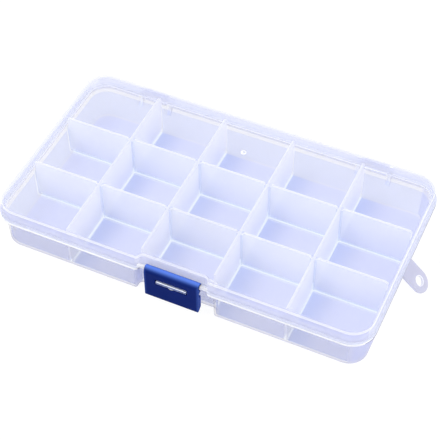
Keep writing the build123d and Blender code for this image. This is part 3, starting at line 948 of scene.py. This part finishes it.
# Snap latch: a royal blue moulding. Its top rolls over into a hook that clips round the lid's bar,
# and the slot in its plate drops over the tray's catch tongue. Its roll and the ends of its plate
# carry a painted highlight in a lighter blue.
BAR_GAP = 0.07
HOOK_R = 1.65
HOOK_TIP = -35
ROLL_R = 3.05
ROLL_TURN = 45
LATCH_HALF = 12.7
LATCH_RIM = 0.35
PLATE_THICK = 1.5
LATCH_BOTTOM = 3.5
LATCH_LEAD_IN = 0.6
SLOT_HALF = 7.6
SLOT_LOW = 12.4
SLOT_HIGH = 15.7
SLOT_ROUND = 0.6
GRIP_Y = -46.2
GRIP_LOW = 5.0
GRIP_HIGH = 11.9
GRIP_WALL = 1.1
GRIP_POCKET = 1.6
STOP_RIB_Y = -46.4
STOP_RIB_LOW = 14.95
STOP_RIB_HIGH = 16.35
PIP_GAP = 0.3
CUT_FRONT = -60
CUT_BACK = -40
ROLL_SHADE_LOW = 18.4
ROLL_SHADE_HIGH = 20.5
LATCH_CLOUD_SCALE = 120.0
LATCH_GRAIN_SCALE = 2600.0
LATCH_DARK = (0.003, 0.013, 0.125, 1.0)
LATCH_BLUE = (0.005, 0.018, 0.150, 1.0)
LATCH_CREST_HIGHLIGHT = (0.115, 0.235, 0.82, 1.0)
LATCH_SMOOTH = 0.36
LATCH_ROUGH = 0.50
LATCH_SPECULAR = 0.02
LATCH_SKIN_STRENGTH = 0.3
LATCH_SKIN_DEPTH = 0.00002
ROLL_SHADE_CURVE = 3.2
END_SHADE_WIDTH = 1.2
END_SHADE_SHARE = 0.25

latch_plastic = bpy.data.materials.new("royal_blue_plastic")
latch_plastic.use_nodes = True
tree = latch_plastic.node_tree
place = tree.nodes.new("ShaderNodeTexCoord").outputs["Object"]
cloud = noise(tree, place, LATCH_CLOUD_SCALE)
grain = noise(tree, place, LATCH_GRAIN_SCALE)
plate_blue = mixed(tree, cloud, LATCH_DARK, LATCH_BLUE)
parts = tree.nodes.new("ShaderNodeSeparateXYZ")
tree.links.new(place, parts.inputs[0])
# Painted highlight: the roll is painted a lighter blue up to its crest, and both ends of the plate a
# little lighter.
rise = scaled(tree, parts.outputs["Z"], ROLL_SHADE_LOW * MM, ROLL_SHADE_HIGH * MM)
roll_light = reckoned(tree, "POWER", rise, ROLL_SHADE_CURVE)
from_middle = reckoned(tree, "ABSOLUTE", parts.outputs["X"])
end_start = (LATCH_HALF - END_SHADE_WIDTH) * MM
end_light = scaled(tree, from_middle, end_start, LATCH_HALF * MM, to_high=END_SHADE_SHARE)
painted_highlight = reckoned(tree, "MAXIMUM", roll_light, end_light)
blue = mixed(tree, painted_highlight, plate_blue, LATCH_CREST_HIGHLIGHT)
polish = scaled(tree, grain, 0.0, 1.0, LATCH_SMOOTH, LATCH_ROUGH)
latch_body = tree.nodes["Principled BSDF"]
latch_body.inputs["Specular IOR Level"].default_value = LATCH_SPECULAR
coat(tree, latch_body, blue, polish, grain, LATCH_SKIN_STRENGTH, LATCH_SKIN_DEPTH)
latch_finish = [latch_plastic]

roll_turn = 180 - ROLL_TURN
roll_offset = ROLL_R - HOOK_R
roll_away = math.radians(roll_turn - 180)
roll = (BAR_Y + roll_offset * math.cos(roll_away), BAR_Z + roll_offset * math.sin(roll_away))
plate_front = roll[0] - ROLL_R
plate_rear = plate_front + PLATE_THICK
outline = [(plate_front, LATCH_BOTTOM)]
outline += arc(roll, ROLL_R, 180, roll_turn, steps=10)
outline += arc(bar_middle, HOOK_R, roll_turn, HOOK_TIP, steps=18)[1:]
bore = BAR_R + BAR_GAP
rear_turn = 180 + math.degrees(math.acos((BAR_Y - plate_rear) / bore))
outline += arc(bar_middle, bore, HOOK_TIP, rear_turn, steps=18)
outline += [
    (plate_rear, STOP_RIB_HIGH), (STOP_RIB_Y, STOP_RIB_HIGH - LATCH_LEAD_IN), (STOP_RIB_Y, STOP_RIB_LOW),
    (plate_rear, STOP_RIB_LOW), (plate_rear, GRIP_HIGH), (GRIP_Y, GRIP_HIGH), (GRIP_Y, GRIP_LOW),
    (plate_rear - LATCH_LEAD_IN, LATCH_BOTTOM),
]
latch = slab("blue_latch", outline, -LATCH_HALF, LATCH_HALF, "X", latch_finish, rim=LATCH_RIM)

slot_middle = (SLOT_LOW + SLOT_HIGH) / 2
corner_x = SLOT_HALF - SLOT_ROUND
slot_outline = []
for x, z, start in ((1, 1, 0), (-1, 1, 90), (-1, -1, 180), (1, -1, 270)):
    z_middle = slot_middle + z * ((SLOT_HIGH - SLOT_LOW) / 2 - SLOT_ROUND)
    slot_outline += arc((x * corner_x, z_middle), SLOT_ROUND, start, start + 90, steps=5)
dip_r = PIP_R + PIP_GAP
dip_middle = TONGUE_LOW - PIP_DROP - PIP_GAP + dip_r
dip_outline = arc((0, dip_middle), dip_r, -150, -30, steps=12)
for name, cut in (("slot", slot_outline), ("dip", dip_outline)):
    hole = slab(name, cut, CUT_FRONT, CUT_BACK, "Y", latch_finish)
    combine(latch, hole, "DIFFERENCE")
pocket_low = GRIP_LOW + GRIP_WALL
pocket_high = GRIP_HIGH - GRIP_WALL
pocket_outline = [
    (GRIP_Y - GRIP_POCKET, pocket_low), (GRIP_Y + GRIP_POCKET, pocket_low),
    (GRIP_Y + GRIP_POCKET, pocket_high), (GRIP_Y - GRIP_POCKET, pocket_high),
]
for side in (-1, 1):
    span = sorted((side * GRIP_WALL, side * (LATCH_HALF - GRIP_WALL)))
    pocket = slab("pocket", pocket_outline, *span, "X", latch_finish)
    combine(latch, pocket, "DIFFERENCE")
finish_mesh(latch)
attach(latch, "snap_latch")
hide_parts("latch")

# Dividers: ten loose plates of the tray's plastic, which slide into the slots between the ribs.
# Each has its corners cut off, and its lowest millimetre lets more of the floor show through,
# which paints a light line at its foot. Its rims have a whiter finish, a painted highlight.
DIVIDER_WIDTH = 32.2
DIVIDER_LOW = 1.3
DIVIDER_TOP = 22.6
DIVIDER_CORNER = 1.0
DIVIDER_RIM = 0.25
DIVIDER_FOOT = 1.0
COLUMNS = 5

PLATE_FACE, PLATE_EDGE, PLATE_FOOT = range(3)
divider_finish = [
    frosted("divider_face", (0.97, 0.98, 1.0), clear=0.46, gleam=0.04),
    frosted("divider_edge_highlight", (0.995, 0.995, 1.0), clear=0.15, gleam=0.05),
    frosted("divider_foot_light_line", (0.95, 0.97, 1.0), clear=0.88, stain=1.0),
]
half = DIVIDER_WIDTH / 2
cut = half - DIVIDER_CORNER
outline = [
    (-cut, DIVIDER_LOW), (cut, DIVIDER_LOW), (half, DIVIDER_LOW + DIVIDER_CORNER),
    (half, DIVIDER_TOP - DIVIDER_CORNER), (cut, DIVIDER_TOP), (-cut, DIVIDER_TOP),
    (-half, DIVIDER_TOP - DIVIDER_CORNER), (-half, DIVIDER_LOW + DIVIDER_CORNER),
]
for column in range(COLUMNS):
    for row, y in (("front", -ROW_PITCH / 2), ("back", ROW_PITCH / 2)):
        x = (column - (COLUMNS - 1) / 2) * COLUMN_PITCH
        placed = [(x + across, z) for across, z in outline]
        front = y - DIVIDER_THICK / 2
        divider = slab(f"divider_plate_{column + 1}_{row}", placed, front, front + DIVIDER_THICK, "Y",
                       divider_finish, PLATE_FACE, PLATE_EDGE, rim=DIVIDER_RIM)
        band(divider, "Z", DIVIDER_LOW, DIVIDER_LOW + DIVIDER_FOOT, PLATE_FOOT)
        finish_mesh(divider)
        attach(divider, "tray")
        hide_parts(f"divider_{column + 1}_{row}")
